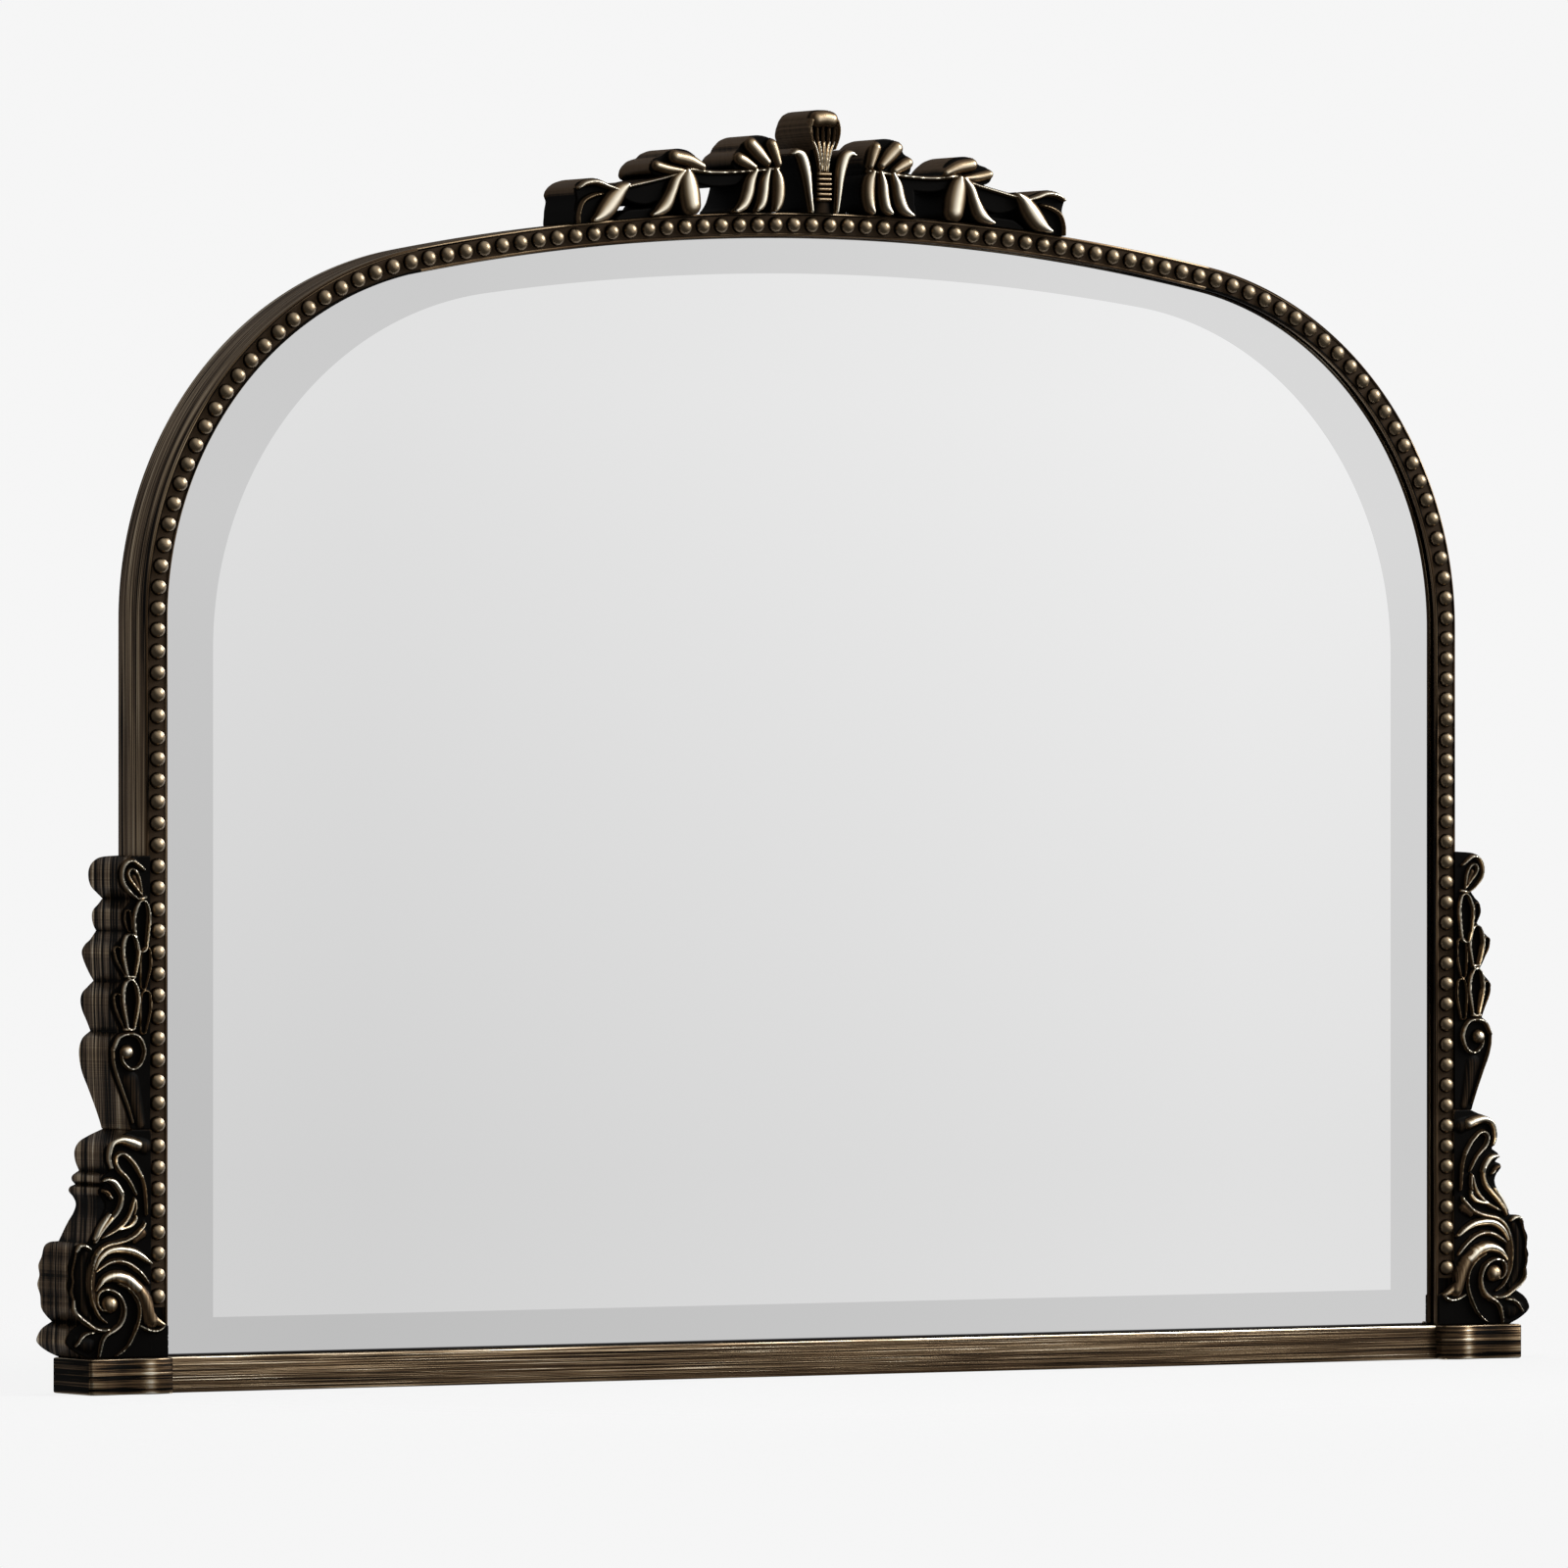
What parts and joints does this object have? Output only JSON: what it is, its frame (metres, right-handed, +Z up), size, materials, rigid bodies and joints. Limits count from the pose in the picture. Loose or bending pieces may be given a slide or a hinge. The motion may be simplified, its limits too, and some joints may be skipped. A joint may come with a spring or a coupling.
{
  "type": "overmantel mirror",
  "caption": "Arched overmantel mirror: bevelled glass in a beaded antique bronze frame on a plinth base, with a leaf crest, husk drops and acanthus scrolls.",
  "frame": {"origin": "centre of the base rail's underside, midway between the front of the plinth blocks and the back", "axes": "+X to the viewer's right along the base, +Y from the glass towards the wall, +Z up"},
  "size_m": [1.2276, 0.0551, 0.909],
  "materials": {
    "frame_bronze": "antique bronze over gesso",
    "bead_bronze": "satin bronze",
    "crest_bronze": "satin bronze",
    "scroll_bronze": "antique bronze with rubbed edges",
    "mirror_glass": "silvered, bevelled",
    "back_board": "bare board",
    "batten_wood": "planed softwood",
    "dowel_wood": "beech",
    "fixing_steel": "zinc plated",
    "hanger_steel": "nickel plated",
    "pad_rubber": "soft"
  },
  "bodies": {
    "mirror": {"back_board": "back_board", "base_rail": "frame_bronze", "batten_screws": "fixing_steel", "bottom_batten": "batten_wood", "crest_left_garland": "crest_bronze", "crest_palmette": "crest_bronze", "crest_right_garland": "crest_bronze", "crown_arch": "frame_bronze", "crown_beads": "bead_bronze", "frame_dowels": "dowel_wood", "glass_pads": "pad_rubber", "hanger_screws": "fixing_steel", "left_acanthus": "scroll_bronze", "left_batten": "batten_wood", "left_bead_strip": "bead_bronze", "left_hanger_strap": "hanger_steel", "left_pendant": "scroll_bronze", "left_plinth_block": "frame_bronze", "left_shoulder": "frame_bronze", "left_shoulder_beads": "bead_bronze", "left_stile": "frame_bronze", "mirror_glass": "mirror_glass", "ornament_screws": "fixing_steel", "retaining_points": "fixing_steel", "right_acanthus": "scroll_bronze", "right_batten": "batten_wood", "right_bead_strip": "bead_bronze", "right_hanger_strap": "hanger_steel", "right_pendant": "scroll_bronze", "right_plinth_block": "frame_bronze", "right_shoulder": "frame_bronze", "right_shoulder_beads": "bead_bronze", "right_stile": "frame_bronze"},
    "left_ring": {"left_hanger_ring": "hanger_steel"},
    "right_ring": {"right_hanger_ring": "hanger_steel"}
  },
  "joints": [
    {"name": "left_ring_swing", "type": "hinge", "parent": "mirror", "child": "left_ring", "pos_m": [-0.52, 0.01565, 0.49], "axis": [1, 0, 0], "range_deg": [0, 180]},
    {"name": "right_ring_swing", "type": "hinge", "parent": "mirror", "child": "right_ring", "pos_m": [0.52, 0.01565, 0.49], "axis": [1, 0, 0], "range_deg": [0, 180]}
  ]
}
